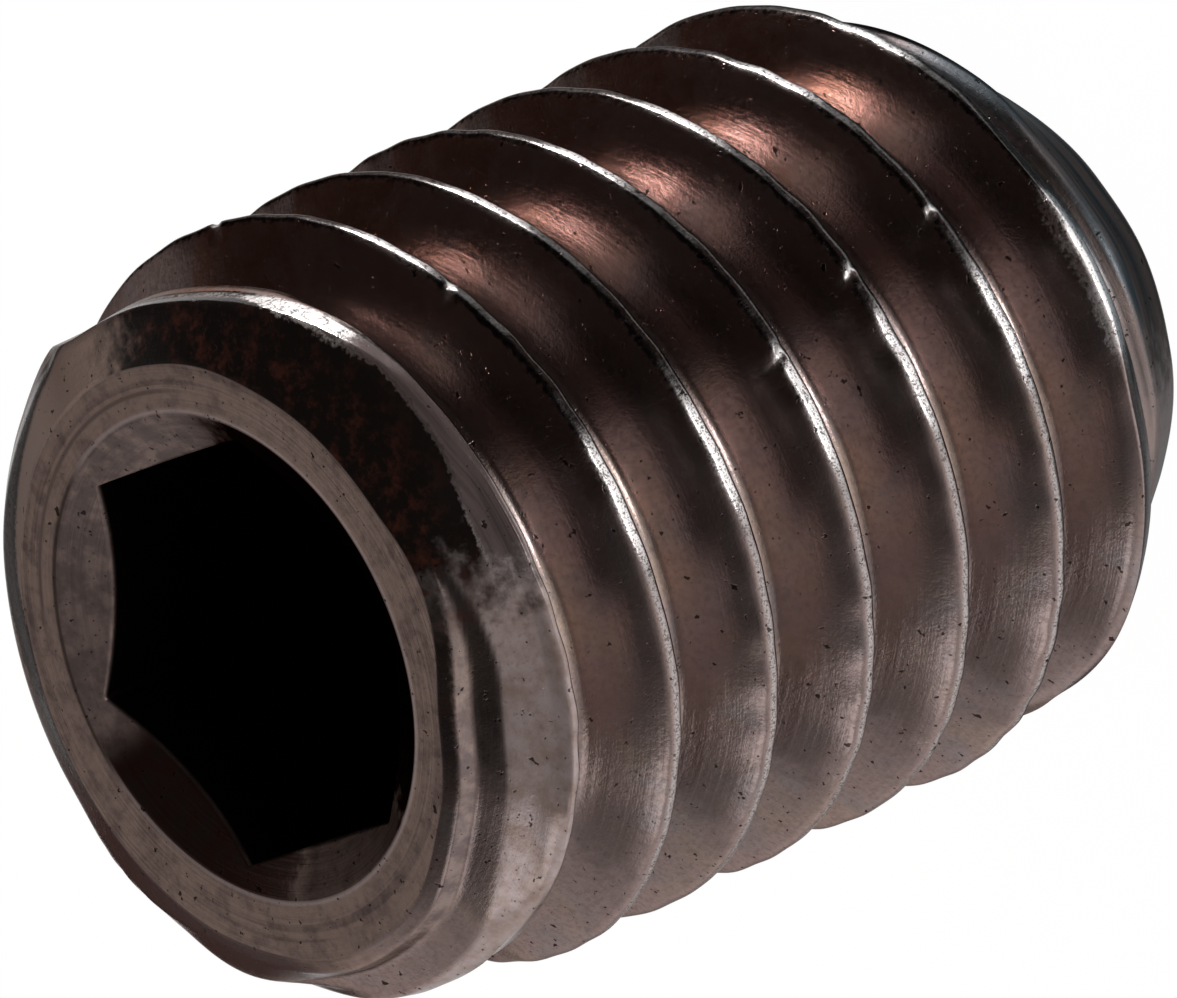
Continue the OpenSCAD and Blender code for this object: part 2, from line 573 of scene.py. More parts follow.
@dataclass
class ScrewSkin:
    """The screw's surface as rows of vertices round the axis.

    The rows run from the socket's bottom up its walls, over the face, down
    the thread and over the point. On the thread each row follows the helix,
    and the rows are cut off level at both ends.

    The level rows at the socket end reach down to the depth level_rows.
    Helical rows closer than slack to an end are left out, and a pole's ring
    of vertices has the share pole_share of its full radius.
    """

    form: ScrewForm = field(default_factory=ScrewForm)
    columns: int = 360
    level_rows: float = 0.36
    slack: float = 0.008
    pole_share: float = 1e-4
    points: list = field(default_factory=list)
    masks: dict = field(default_factory=dict)
    faces: list = field(default_factory=list)
    count: int = 0

    def __post_init__(self) -> None:
        """Starts empty mask lists and the turns of the columns."""
        self.masks = {mask: [] for mask in Mask}
        self.turn = np.arange(self.columns) * 360.0 / self.columns - 180.0

    def add(self, radius: np.ndarray, depth: np.ndarray, turn: np.ndarray, **masks: np.ndarray) -> np.ndarray:
        """Adds vertices at a radius, depth and turn.

        x = r sin(turn), y = -r cos(turn), z = length - depth.

        Args:
            radius: Distances from the axis.
            depth: Depths below the socket face.
            turn: Angles round the axis, in degrees.
            masks: Values of the masks by their Enum name, 0 where left out.

        Returns:
            The new vertices' numbers, in the shape of radius.
        """
        radius, depth, turn = np.broadcast_arrays(radius, depth, turn)
        a = np.radians(turn)
        xyz = np.stack([radius * np.sin(a), -radius * np.cos(a), self.form.length - depth], -1)
        self.points.append(xyz.reshape(-1, 3) * MM)
        for mask in Mask:
            value = np.broadcast_to(masks.get(mask.name, 0.0), radius.shape)
            self.masks[mask].append(value.ravel())
        numbers = self.count + np.arange(radius.size).reshape(radius.shape)
        self.count += radius.size
        return numbers

    def join(self, rows: np.ndarray, wrap: np.ndarray | None = None) -> None:
        """Closes a grid of vertex numbers with triangles, round the axis too.

        Each cell of the grid gives two triangles. One that has lost a side,
        because two of its corners are the same vertex, is left out.

        Args:
            rows: Vertex numbers, one row for each line round the axis, each
                row further along the path than the one before.
            wrap: The numbers that follow the last column, where they aren't
                those of the first column.
        """
        last = rows[:, :1] if wrap is None else wrap[:, None]
        grid = np.concatenate([rows, last], axis=1)
        a, b, c, d = grid[:-1, :-1], grid[1:, :-1], grid[1:, 1:], grid[:-1, 1:]
        tri = np.concatenate([np.stack([a, b, c], -1).reshape(-1, 3), np.stack([a, c, d], -1).reshape(-1, 3)])
        sound = (tri[:, 0] != tri[:, 1]) & (tri[:, 1] != tri[:, 2]) & (tri[:, 2] != tri[:, 0])
        self.faces.append(tri[sound])

    def socket_rows(self) -> np.ndarray:
        """The drilled cone, the hexagon's walls and the countersink.

        Returns:
            Vertex numbers from the cone's tip to the rim.
        """
        form, turn = self.form, self.turn
        wall = form.hexagon(turn)
        slope = 1.0 / math.tan(math.radians(form.sink_angle / 2.0))
        tip = form.socket_depth + form.drill_r * slope
        rows = []
        for share in (0.0, 0.5, 1.0):
            radius = np.full_like(turn, max(share, self.pole_share) * form.drill_r)
            rows.append(self.add(radius, tip - share * form.drill_r * slope, turn, SOCKET=1.0))
        mouth = (form.rim_r - wall) * slope
        for share in (0.0, 0.15, 0.4, 0.7, 0.9, 0.985):
            depth = form.socket_depth + (mouth - form.socket_depth) * share
            rows.append(self.add(wall, depth, turn, SOCKET=1.0))
        for share in (0.02, 0.08, 0.2, 0.35, 0.5, 0.65, 0.8, 0.92, 0.985):
            radius = wall + (form.rim_r - wall) * share
            rows.append(self.add(radius, mouth * (1.0 - share), turn, FACE=1.0, SINK=1.0))
        return np.array(rows)

    def face_rows(self) -> np.ndarray:
        """The flat ring between the rim and the crown, with its rim eased.

        Returns:
            Vertex numbers from the rim outwards.
        """
        form, turn = self.form, self.turn
        rows = [self.add(np.full_like(turn, form.rim_r + 0.004), 0.003, turn, FACE=1.0, SINK=0.5)]
        for share in (0.05, 0.2, 0.4, 0.6, 0.8, 0.95):
            radius = form.rim_r + (form.ring_edge(turn) - form.rim_r) * share
            rows.append(self.add(radius, np.zeros_like(turn), turn, FACE=1.0))
        return np.array(rows)

    def across(self) -> np.ndarray:
        """Distances from a crest at which the thread's rows lie, within a pitch.

        They are closest at the crest's edges and in the root, where the
        surface bends most.
        """
        form = self.form
        edge, half = form.crest_half, form.pitch / 2.0
        bend = half - form.root_r * math.cos(math.radians(form.half_flank))
        side = np.concatenate([
            [edge * 0.5, edge * 0.8, edge, edge + 0.012, edge + 0.03],
            np.linspace(edge + 0.03, bend, 5)[1:],
            np.linspace(bend, half, 4)[1:-1],
        ])
        return np.concatenate([[0.0], side, [half], form.pitch - side[::-1]])

    def outside(self, depth: np.ndarray, turn: np.ndarray) -> np.ndarray:
        """Adds vertices on the threaded outside, with all of its masks.

        Args:
            depth: Depths below the socket face.
            turn: Angles round the axis, in degrees.

        Returns:
            The new vertices' numbers.
        """
        form = self.form
        wall, flank, band = form.runout_masks(depth, turn)
        masks = {"AWAY": np.abs(form.crest_distance(depth, turn)), "NICK": form.nick(depth, turn)}
        return self.add(form.radius(depth, turn), depth, turn, WALL=wall, FLANK=flank, BAND=band, **masks)

    def thread_rows(self) -> tuple[np.ndarray, np.ndarray, np.ndarray]:
        """The threaded outside, in level rows at the top and then along the helix.

        Row m of the helix at turn t has depth first_crest + offset(m) -
        pitch t / 360. Rows that would lie past an end of the helical part
        are gathered in that end's level ring of vertices.

        Returns:
            Vertex numbers of the level rows, of the helical grid from there
            down, and those that follow its last column.
        """
        form, turn = self.form, self.turn
        across = self.across()
        per_pitch = across.size
        turns = int(math.ceil(form.length / form.pitch)) + 3
        offset = (np.arange(turns)[:, None] * form.pitch + across[None, :]).ravel() - 2.0 * form.pitch
        depth = form.first_crest + offset[:, None] - form.pitch * turn[None, :] / 360.0
        above, below = depth < self.level_rows + self.slack, depth > form.length - self.slack
        inside = ~(above | below)
        where = np.broadcast_to(turn, depth.shape)
        numbers = np.zeros(depth.shape, dtype=int)
        numbers[inside] = self.outside(depth[inside], where[inside])
        zero = np.zeros_like(turn)
        levels = np.concatenate([np.linspace(0.0, 0.1, 9), np.linspace(0.1, self.level_rows, 15)[1:]])
        level = []
        for depth_here in levels:
            level.append(self.outside(zero + depth_here, turn))
        top = level[-1]
        bottom = self.add(form.radius(zero + form.length, turn), form.length, turn, AWAY=form.pitch / 2.0)
        numbers = np.where(above, top[None, :], np.where(below, bottom[None, :], numbers))
        wrap = np.concatenate([np.full(per_pitch, top[0]), numbers[:-per_pitch, 0]])
        return np.array(level), numbers, wrap

    def point_rows(self) -> np.ndarray:
        """The flat point, from its edge to its middle."""
        form, turn = self.form, self.turn
        edge = through(turn, form.point_r)
        shares = (0.985, 0.7, 0.35, self.pole_share)
        rows = [self.add(edge * share, form.length, turn, AWAY=form.pitch / 2.0) for share in shares]
        return np.array(rows)

    def build(self, name: str) -> bpy.types.Object:
        """Makes the closed mesh object.

        Args:
            name: Name of the object.

        Returns:
            The object, at the origin, with its masks as attributes.
        """
        cap = np.concatenate([self.socket_rows(), self.face_rows()])
        level, thread, wrap = self.thread_rows()
        point = self.point_rows()
        self.join(np.concatenate([cap, level]))
        self.join(thread, wrap)
        self.join(np.concatenate([thread[-1:], point]))
        points = np.concatenate(self.points)
        tri = np.concatenate(self.faces)
        mesh = bpy.data.meshes.new(name)
        mesh.vertices.add(len(points))
        mesh.vertices.foreach_set("co", points.ravel())
        mesh.loops.add(tri.size)
        mesh.loops.foreach_set("vertex_index", tri.ravel().astype(np.int32))
        mesh.polygons.add(len(tri))
        mesh.polygons.foreach_set("loop_start", np.arange(len(tri), dtype=np.int32) * 3)
        for mask, parts in self.masks.items():
            layer = mesh.attributes.new(mask.value, "FLOAT", "POINT")
            layer.data.foreach_set("value", np.concatenate(parts).astype(np.float32))
        mesh.update(calc_edges=True)
        mesh.validate()
        mesh.polygons.foreach_set("use_smooth", np.ones(len(mesh.polygons), dtype=bool))
        piece = bpy.data.objects.new(name, mesh)
        bpy.context.collection.objects.link(piece)
        log.info("%s: %d vertices, %d triangles", name, len(mesh.vertices), len(mesh.polygons))
        return piece


class Signal:
    """A number that varies over a surface: an output socket that is used like a number.

    Sums, differences and products each add a Math node. Of two masks, which
    run from 0 to 1, a | b is where either lies and ~a is where a doesn't.
    """

    def __init__(self, board: "NodeBoard", socket: bpy.types.NodeSocket) -> None:
        """Keeps the socket and the board that it belongs to."""
        self.board = board
        self.socket = socket

    def __add__(self, other: "Signal | float") -> "Signal":
        """The sum of the two."""
        return self.board.math("ADD", self, other)

    def __radd__(self, other: float) -> "Signal":
        """The sum of a number and this."""
        return self.board.math("ADD", other, self)

    def __sub__(self, other: "Signal | float") -> "Signal":
        """This less the other."""
        return self.board.math("SUBTRACT", self, other)

    def __rsub__(self, other: float) -> "Signal":
        """A number less this."""
        return self.board.math("SUBTRACT", other, self)

    def __mul__(self, other: "Signal | float") -> "Signal":
        """The product of the two."""
        return self.board.math("MULTIPLY", self, other)

    def __or__(self, other: "Signal | float") -> "Signal":
        """The larger of the two."""
        return self.board.math("MAXIMUM", self, other)

    def __invert__(self) -> "Signal":
        """One less this."""
        return 1.0 - self

    def spread(self, low: float, high: float, to_low: float = 0.0, to_high: float = 1.0) -> "Signal":
        """Goes smoothly from to_low, where this is low, to to_high, where it's high."""
        settings = {"interpolation_type": "SMOOTHSTEP"}
        ends = {"From_Min": low, "From_Max": high, "To_Min": to_low, "To_Max": to_high}
        made = self.board.node("ShaderNodeMapRange", settings, Value=self, **ends)
        return Signal(self.board, made.outputs[0])

    def over(self, span: tuple) -> "Signal":
        """A mask over a span (rise, full, fall, end) of this, as between() gives."""
        rise, full, fall, end = span
        return self.spread(rise, full) * self.spread(end, fall)


class NodeBoard:
    """A material's or world's node tree, with short calls to add and wire nodes."""

    def __init__(self, tree: bpy.types.NodeTree) -> None:
        """Empties the tree and keeps it."""
        self.tree = tree
        tree.nodes.clear()

    def set_input(self, socket: bpy.types.NodeSocket, value: object) -> None:
        """Wires an input socket to a signal or an output socket, or gives it a plain value."""
        if isinstance(value, Signal):
            value = value.socket
        if isinstance(value, bpy.types.NodeSocket):
            self.tree.links.new(value, socket)
        else:
            socket.default_value = value

    def node(self, kind: str, settings: dict | None = None, **inputs: object) -> bpy.types.Node:
        """Adds a node.

        Args:
            kind: The node's type, such as ShaderNodeMath.
            settings: Values for the node's own properties.
            inputs: Values, signals or output sockets for its inputs, by name
                with underscores for spaces, or i0, i1 for a place in the list.

        Returns:
            The node.
        """
        made = self.tree.nodes.new(kind)
        for key, value in (settings or {}).items():
            setattr(made, key, value)
        for key, value in inputs.items():
            place = int(key[1:]) if key[0] == "i" and key[1:].isdigit() else key.replace("_", " ")
            self.set_input(made.inputs[place], value)
        return made

    def output(self, kind: str, shader: bpy.types.Node) -> None:
        """Adds the tree's output node and gives it a shader."""
        self.node(kind, i0=shader.outputs[0])

    def math(self, operation: str, a: object, b: object = 0.0, clamp: bool = False) -> Signal:
        """Output of a Math node of two values, clamped to 0 to 1 on request."""
        settings = {"operation": operation, "use_clamp": clamp}
        return Signal(self, self.node("ShaderNodeMath", settings, i0=a, i1=b).outputs[0])

    def tint(self, share: object, a: object, b: object) -> bpy.types.NodeSocket:
        """Output of a colour Mix node from a to b by share."""
        made = self.node("ShaderNodeMix", {"data_type": "RGBA"})
        for place, value in ((0, share), (6, a), (7, b)):
            self.set_input(made.inputs[place], value)
        return made.outputs[2]

    def mask(self, mask: Mask) -> Signal:
        """Value of one of the screw's vertex masks."""
        made = self.node("ShaderNodeAttribute", {"attribute_name": mask.value})
        return Signal(self, made.outputs["Fac"])

    def noise(self, at: object, scale: float, detail: float, rough: float) -> Signal:
        """Value of a Noise Texture."""
        kind = "ShaderNodeTexNoise"
        made = self.node(kind, Vector=at, Scale=scale, Detail=detail, Roughness=rough)
        return Signal(self, made.outputs[0])


class Coat:
    """A colour that is built up in layers, each laid over the ones before by a mask."""

    def __init__(self, board: NodeBoard, ground: tuple) -> None:
        """Starts with a plain ground."""
        self.board = board
        self.colour = ground

    def lay(self, mask: Signal, colour: object) -> None:
        """Lays a colour over the coat where the mask is."""
        self.colour = self.board.tint(mask, self.colour, colour)


class Chart:
    """Signals that every layer of the finish reads: places, vertex masks and noises.

    Depth below the face, the turn round the axis and the distance from the
    first crest are worked out from Object coordinates in millimetres. The
    ragged ones are jittered by noise. Turning lines are noise along the
    distance from the axis, which follows the helix on the flanks and makes
    circles on the face.
    """

    def __init__(self, board: NodeBoard, form: ScrewForm) -> None:
        """Adds the nodes that read the place, the masks and the noises."""
        self.board = board
        self.form = form
        at = board.node("ShaderNodeTexCoord").outputs["Object"]
        self.mm = board.node("ShaderNodeVectorMath", {"operation": "SCALE"}, i0=at, Scale=1.0 / MM).outputs[0]
        axes = board.node("ShaderNodeSeparateXYZ", i0=self.mm).outputs
        self.x, self.y, z = (Signal(board, axis) for axis in axes)
        self.radius = board.math("SQRT", self.x * self.x + self.y * self.y)
        self.turn = board.math("ARCTAN2", self.x, self.y * -1.0) * (180.0 / math.pi)
        self.depth = form.length - z
        self.start = self.depth - form.first_crest + self.turn * (form.pitch / 360.0)
        self.away = board.mask(Mask.AWAY)
        self.socket = board.mask(Mask.SOCKET)
        self.face = board.mask(Mask.FACE)
        self.sink = board.mask(Mask.SINK)
        self.nick = board.mask(Mask.NICK)
        self.wall = board.mask(Mask.WALL)
        self.flank = board.mask(Mask.FLANK)
        self.band = board.mask(Mask.BAND)
        self.cloud = board.noise(self.mm, 1.5, 3.0, 0.5)
        self.blotch = board.noise(self.mm, 2.3, 3.0, 0.5)
        self.patch = board.noise(self.mm, 6.0, 3.0, 0.6)
        self.grain = board.noise(self.mm, 22.0, 4.0, 0.65)
        self.fine = board.noise(self.mm, 60.0, 3.0, 0.6)
        self.lines = self.rings(34.0, 0.8, 3.0, 0.6)
        self.arcs = self.rings(15.0, 0.35, 2.0, 0.5)
        pits = board.noise(self.mm, 13.0, 2.0, 0.5).spread(0.69, 0.73)
        self.speck = pits | board.noise(self.mm, 24.0, 2.0, 0.5).spread(0.71, 0.75)
        self.jag = self.grain - 0.5
        self.soft_turn = self.turn + (self.patch - 0.5) * 9.0
        self.ragged_turn = self.turn + (self.patch - 0.5) * 26.0
        self.ragged_depth = self.depth + self.jag * 0.07

    def rings(self, across: float, along: float, detail: float, rough: float) -> Signal:
        """Noise that is drawn out round the axis.

        Args:
            across: Its scale along the distance from the axis.
            along: Its scale round the axis.
            detail: The noise's detail.
            rough: The noise's roughness.

        Returns:
            The noise.
        """
        around = {"Y": self.x * along, "Z": self.y * along}
        at = self.board.node("ShaderNodeCombineXYZ", X=self.radius * across, **around)
        return self.board.noise(at.outputs[0], 1.0, detail, rough)


@dataclass
class Zones:
    """Masks of the places on the screw that more than one layer reads.

    The fields are sizes in millimetres and spans of turns in degrees: two
    numbers are where a mask starts and where it's full, and four are where
    it rises, is full, falls and ends.
    """

    chart: Chart
    # The next six place the black on the lead chamfer: dark oxide, kept to the turns where shade falls, as
    # painted shade.
    black_edge_depth: float = 0.345
    black_edge_climb: float = 0.0033
    black_edge_climb_turn: float = 46.0
    black_edge_bay: float = 0.075
    black_edge_bay_turn: tuple = (31.0, 39.0, 50.0, 60.0)
    black_shade_turn: tuple = (-16.0, 2.0, 80.0, 96.0)
    rim_depth: tuple = (0.17, 0.12)
    rim_right: tuple = (-85.0, -115.0)
    rim_left: tuple = (158.0, 176.0)
    left_top: tuple = (100.0, 118.0)
    left_foot: tuple = (-120.0, -140.0)
    crown_depth: tuple = (0.17, 0.13)
    crown_more: float = 0.1
    crown_gap: tuple = (-100.0, -80.0, -4.0, 10.0)
    cone_foot_r: float = 2.07
    cone_near: tuple = (0.16, 0.1)
    cone_depth: tuple = (6.55, 6.7)
    cone_start: tuple = (6.07, 6.13)
    cone_turn: tuple = (-155.0, -120.0, 130.0, 165.0)
    cone_low_turn: tuple = (-160.0, -120.0, -34.0, -12.0)
    low_front_turn: tuple = (-180.0, -140.0, -22.0, 5.0)
    first_start: tuple = (0.14, 0.1)
    last_glint_turn: tuple = (-18.0, -8.0, 9.0, 17.0)
    last_glint_start: tuple = (5.88, 5.91, 6.06, 6.1)
    strip_start: tuple = (0.05, 0.02)
    strip_turn: tuple = (-12.0, 0.0, 84.0, 92.0)
    dull_strip_turn: tuple = (41.0, 35.0)
    face_left_top: tuple = (108.0, 122.0)
    face_left_foot: tuple = (-160.0, -174.0)
    sink_black_turn: tuple = (-68.0, -52.0, 58.0, 76.0)
    sink_red_turn: tuple = (-98.0, -112.0)
    sink_red_end: tuple = (-180.0, -166.0)
    sink_dim_turn: tuple = (-112.0, -100.0, -60.0, -50.0)

    @cached_property
    def off_face(self) -> Signal:
        """Everywhere but on the face and in its countersink."""
        return ~self.chart.face

    @cached_property
    def before(self) -> Signal:
        """Above the lower edge of the black on the lead chamfer, which climbs towards the upper right."""
        chart = self.chart
        climb = (chart.turn - self.black_edge_climb_turn) | 0.0
        edge = self.black_edge_depth - climb * self.black_edge_climb
        edge = edge - chart.soft_turn.over(self.black_edge_bay_turn) * self.black_edge_bay
        return (chart.ragged_depth - edge).spread(0.02, -0.02)

    @cached_property
    def black_oxide_and_shade(self) -> Signal:
        """The black part of the lead chamfer: dark oxide, kept to the turns where shade falls on it, so that
        it is partly painted shade.
        """
        return self.before * self.chart.ragged_turn.over(self.black_shade_turn)

    @cached_property
    def red_rim(self) -> Signal:
        """The reddish edge of the crown at the lower left."""
        turn = self.chart.ragged_turn
        round_left = turn.spread(*self.rim_right) | turn.spread(*self.rim_left)
        return self.chart.ragged_depth.spread(*self.rim_depth) * round_left

    @cached_property
    def left_side(self) -> Signal:
        """The side that lies to the left in the photograph."""
        return self.chart.turn.spread(*self.left_top) | self.chart.turn.spread(*self.left_foot)

    @cached_property
    def crown(self) -> Signal:
        """The crown next to the ring, except where the run-out takes its place."""
        shallow = (self.chart.ragged_depth - self.left_side * self.crown_more).spread(*self.crown_depth)
        return shallow * self.off_face * ~self.chart.turn.over(self.crown_gap)

    @cached_property
    def cone(self) -> Signal:
        """The point's cone: what lies on its line, or past the last crest."""
        chart = self.chart
        slope = math.tan(math.radians(chart.form.point_angle))
        line = self.cone_foot_r + (chart.form.length - chart.depth) * slope
        on_line = (line - chart.radius).spread(*self.cone_near) * chart.depth.spread(*self.cone_depth)
        return on_line | chart.start.spread(*self.cone_start) * chart.ragged_turn.over(self.cone_turn)

    @cached_property
    def cone_low(self) -> Signal:
        """The lower part of the cone at the front."""
        return self.chart.ragged_turn.over(self.cone_low_turn)

    @cached_property
    def low_front(self) -> Signal:
        """The lower front, where the crests get a paler oxide tone and a stronger light line, as painted
        reflection and highlight, are drawn narrower, and the first is less worn.
        """
        return self.chart.turn.over(self.low_front_turn)

    @cached_property
    def first(self) -> Signal:
        """The first crest at the lower front."""
        return self.chart.start.spread(*self.first_start) * self.low_front

    @cached_property
    def last(self) -> Signal:
        """The painted glint on the last crest."""
        across = self.chart.start + self.chart.jag * 0.1
        return self.chart.soft_turn.over(self.last_glint_turn) * across.over(self.last_glint_start)

    @cached_property
    def strip(self) -> Signal:
        """The facet worn on the first crest at the upper right."""
        here = self.chart.start.spread(*self.strip_start) * self.chart.ragged_turn.over(self.strip_turn)
        return ~self.before * here

    @cached_property
    def dull_strip(self) -> Signal:
        """The part of that facet that isn't bright."""
        return self.strip * self.chart.soft_turn.spread(*self.dull_strip_turn)

    @cached_property
    def face_left(self) -> Signal:
        """The left of the face."""
        return self.chart.turn.spread(*self.face_left_top) | self.chart.turn.spread(*self.face_left_foot)

    @cached_property
    def sink_red(self) -> Signal:
        """The reddish lower part of the countersink's painted shade."""
        return self.chart.ragged_turn.spread(*self.sink_red_turn) * self.chart.turn.spread(*self.sink_red_end)

    @cached_property
    def sink_shade(self) -> Signal:
        """The part of the countersink that is painted dark as painted shade: black at the front, reddish
        lower down and dim between.
        """
        black = self.chart.ragged_turn.over(self.sink_black_turn)
        dim = self.chart.turn.over(self.sink_dim_turn) * 0.75
        return black | (self.sink_red * 0.85 | dim)


@dataclass(frozen=True)
class Palette:
    """Colours of the steel and its oxide, several of which also serve as painted shade, reflection and
    highlights.
    """

    body: tuple = (0.39, 0.3, 0.285, 1.0)
    # The tint of the flanks' painted dark reflection.
    brown: tuple = (0.36, 0.2, 0.155, 1.0)
    blue: tuple = (0.3, 0.3, 0.31, 1.0)
    # A warm tone for oxide clouds, also the flanks' painted lighter spot.
    warm: tuple = (0.48, 0.37, 0.3, 1.0)
    # A pale tone for the run-out's band and the facet's lines; it also paints the highlight on the rim's edge
    # at the left and makes the cone's lower front paler.
    light: tuple = (0.53, 0.44, 0.43, 1.0)
    # The crests' oxide, near black over most turns and paler at the lower front as painted reflection; the
    # dark one also paints the shade behind the crests.
    crest_dark: tuple = (0.03, 0.027, 0.027, 1.0)
    crest_low: tuple = (0.15, 0.11, 0.1, 1.0)
    # Bare worn metal, also laid as painted glints on the crests.
    bright: tuple = (1.0, 0.95, 0.94, 1.0)
    black: tuple = (0.01, 0.008, 0.007, 1.0)
    rust: tuple = (0.07, 0.022, 0.015, 1.0)
    # A smoky oxide tone for grain and patches, which is also the colour of much of the painted shade.
    smoke_and_shade: tuple = (0.135, 0.104, 0.1, 1.0)
    # Near black: painted shade in the socket, in the countersink and over the cone's top.
    socket: tuple = (0.02, 0.012, 0.01, 1.0)
    ring: tuple = (0.38, 0.28, 0.245, 1.0)
    # The cone's dark blue-grey, darker than the steel because it also stands for the shaded floor that the
    # cone mirrors: partly painted shade.
    cone: tuple = (0.09, 0.103, 0.115, 1.0)
    cone_brown: tuple = (0.27, 0.205, 0.185, 1.0)
    sheen: tuple = (0.35, 0.33, 0.32, 1.0)


@dataclass(frozen=True)
class FlankLayers:
    """The thread's flanks: clouds and grain of oxide, with painted light and shade laid by turn: a
    reddish-brown painted dark reflection, a painted lighter spot, painted shade beside the crests and over
    the lower turns, and a painted dark reflection in the grooves.

    A span of turns is in degrees, and one across the thread is a share of
    the pitch from a crest to the next.
    """

    side_edges: tuple = ((30.0, 50.0, 0.22), (58.0, 70.0, 0.78))
    side_end: tuple = (89.0, 86.0)
    spot_turn: tuple = (-30.0, -19.0, -14.0, -4.0)
    behind_across: tuple = (0.045, 0.07, 0.16, 0.24)
    behind_turn: tuple = (-26.0, -14.0, 30.0, 42.0)
    ahead_across: tuple = (0.55, 0.76, 0.9, 0.97)
    ahead_turn: tuple = (-52.0, -32.0, 14.0, 32.0)
    lower_turn: tuple = (-150.0, -110.0, -50.0, -24.0)
    dark_reflection_turn: tuple = (-70.0, -60.0, -56.0, -44.0)
    dark_reflection_away: tuple = (0.05, 0.2, 0.38, 0.5)

    def lay(self, coat: Coat, chart: Chart, palette: Palette) -> None:
        """Lays the clouds, then the painted reflections, light and shade, then the grain."""
        turn, patch = chart.ragged_turn, chart.patch
        coat.lay(chart.cloud.spread(0.48, 0.68) * 0.4, palette.warm)
        coat.lay(chart.blotch.spread(0.5, 0.68) * 0.4, palette.blue)
        # Painted dark reflection: a reddish-brown tint on the flanks over turns 30 to 89, where they mirror
        # dark reddish surroundings.
        (low, high, faint), (low_full, high_full, strong) = self.side_edges
        side = turn.spread(low, high) * faint + turn.spread(low_full, high_full) * strong
        side = side * chart.turn.spread(*self.side_end)
        coat.lay(side * patch.spread(0.3, 0.6, 0.5, 0.95), palette.brown)
        # Painted light: a lighter, warmer spot in the middle of the grooves over turns -30 to -4, for
        # brighter reflected light.
        coat.lay(turn.over(self.spot_turn) * chart.away.spread(0.22, 0.38) * 0.6, palette.warm)
        # Painted shade: a dark band just behind each crest and a dimmer one ahead of the next, over the front
        # turns.
        across = chart.board.math("FRACT", chart.start + 8.0)
        coat.lay(across.over(self.behind_across) * chart.turn.over(self.behind_turn), palette.crest_dark)
        coat.lay(across.over(self.ahead_across) * turn.over(self.ahead_turn) * 0.42, palette.smoke_and_shade)
        # Painted shade: the flanks are darker over turns -150 to -24.
        coat.lay(turn.over(self.lower_turn) * 0.28, palette.smoke_and_shade)
        # Painted dark reflection: a dark patch in each groove over turns -70 to -44.
        dark_reflection = chart.soft_turn.over(self.dark_reflection_turn) * chart.away.over(self.dark_reflection_away)
        coat.lay(dark_reflection * 0.65, palette.smoke_and_shade)
        coat.lay(chart.grain.spread(0.4, 0.72) * 0.35, palette.smoke_and_shade)
        coat.lay(patch.spread(0.45, 0.68) * 0.18, palette.smoke_and_shade)


@dataclass(frozen=True)
class LeadLayers:
    """The run-out, the crown and the black lead chamfer, with painted shade on the run-out and the chamfer.
    """

    shade_turn: tuple = (-54.0, -22.0)
    stripe_depth: tuple = (0.07, 0.035)
    stripe_turn: tuple = (-85.0, -55.0, 0.0, 8.0)
    stripe_fade: tuple = (-60.0, -20.0, 0.4, 1.0)

    def lay(self, coat: Coat, chart: Chart, zones: Zones, palette: Palette) -> None:
        """Lays the run-out's pale band, the painted shade on its flank and its wall, then the crown, its red
        rim and the chamfer's black, which is partly painted shade.
        """
        board, turn, depth, patch = chart.board, chart.ragged_turn, chart.ragged_depth, chart.patch
        pale = board.tint(patch.spread(0.3, 0.75), palette.light, palette.ring)
        coat.lay(chart.band * chart.grain.spread(0.78, 0.5, 0.45, 1.0), pale)
        # Painted shade: the run-out's flank is painted black towards the front, where it mirrors the dark
        # room overhead.
        coat.lay(chart.flank * turn.spread(*self.shade_turn, 0.0, 0.7), palette.black)
        coat.lay(chart.wall * 0.8, board.tint(patch.spread(0.4, 0.65), palette.smoke_and_shade, palette.cone_brown))
        coat.lay(zones.crown, palette.ring)
        coat.lay(zones.red_rim * zones.off_face, board.tint(0.35, palette.rust, palette.smoke_and_shade))
        # Painted shade: a black stripe along the run-out's crown next to the ring, weaker towards the lower
        # turns.
        stripe = depth.spread(*self.stripe_depth) * turn.over(self.stripe_turn)
        stripe = stripe * turn.spread(*self.stripe_fade)
        # The chamfer's black is dark oxide with reddish bits, laid only over the turns where shade falls, so
        # it is partly painted shade.
        reddish = (chart.grain * 0.5 + patch).spread(0.68, 1.0) * depth.spread(0.3, 0.1, 0.15, 0.8)
        black_oxide_and_shade = board.tint(reddish, palette.black, palette.rust)
        coat.lay((zones.black_oxide_and_shade | stripe * 0.8) * zones.off_face, black_oxide_and_shade)


@dataclass(frozen=True)
class ConeLayers:
    """The turned cone of the point: dark blue-grey, partly painted shade, near black over its upper turns as
    painted shade, and brown and paler below.
    """

    near_turn: tuple = (-160.0, -120.0, 15.0, 60.0)
    shaded_top_turn: tuple = (40.0, 58.0, 150.0, 170.0)

    def lay(self, coat: Coat, chart: Chart, zones: Zones, palette: Palette) -> None:
        """Lays the cone's colours, mixed along its turning lines, with painted shade over its top."""
        board = chart.board
        brown_lines = chart.arcs.spread(0.42, 0.6) * (chart.ragged_turn.over(self.near_turn) * 0.65 + 0.1)
        mixed = board.tint(brown_lines | zones.cone_low, palette.cone, palette.cone_brown)
        # Painted shade: the cone's upper turns are painted near black.
        turned = board.tint(chart.turn.over(self.shaded_top_turn) * 0.8, mixed, palette.socket)
        coat.lay(zones.cone, board.tint(zones.cone_low * 0.4, turned, palette.light))


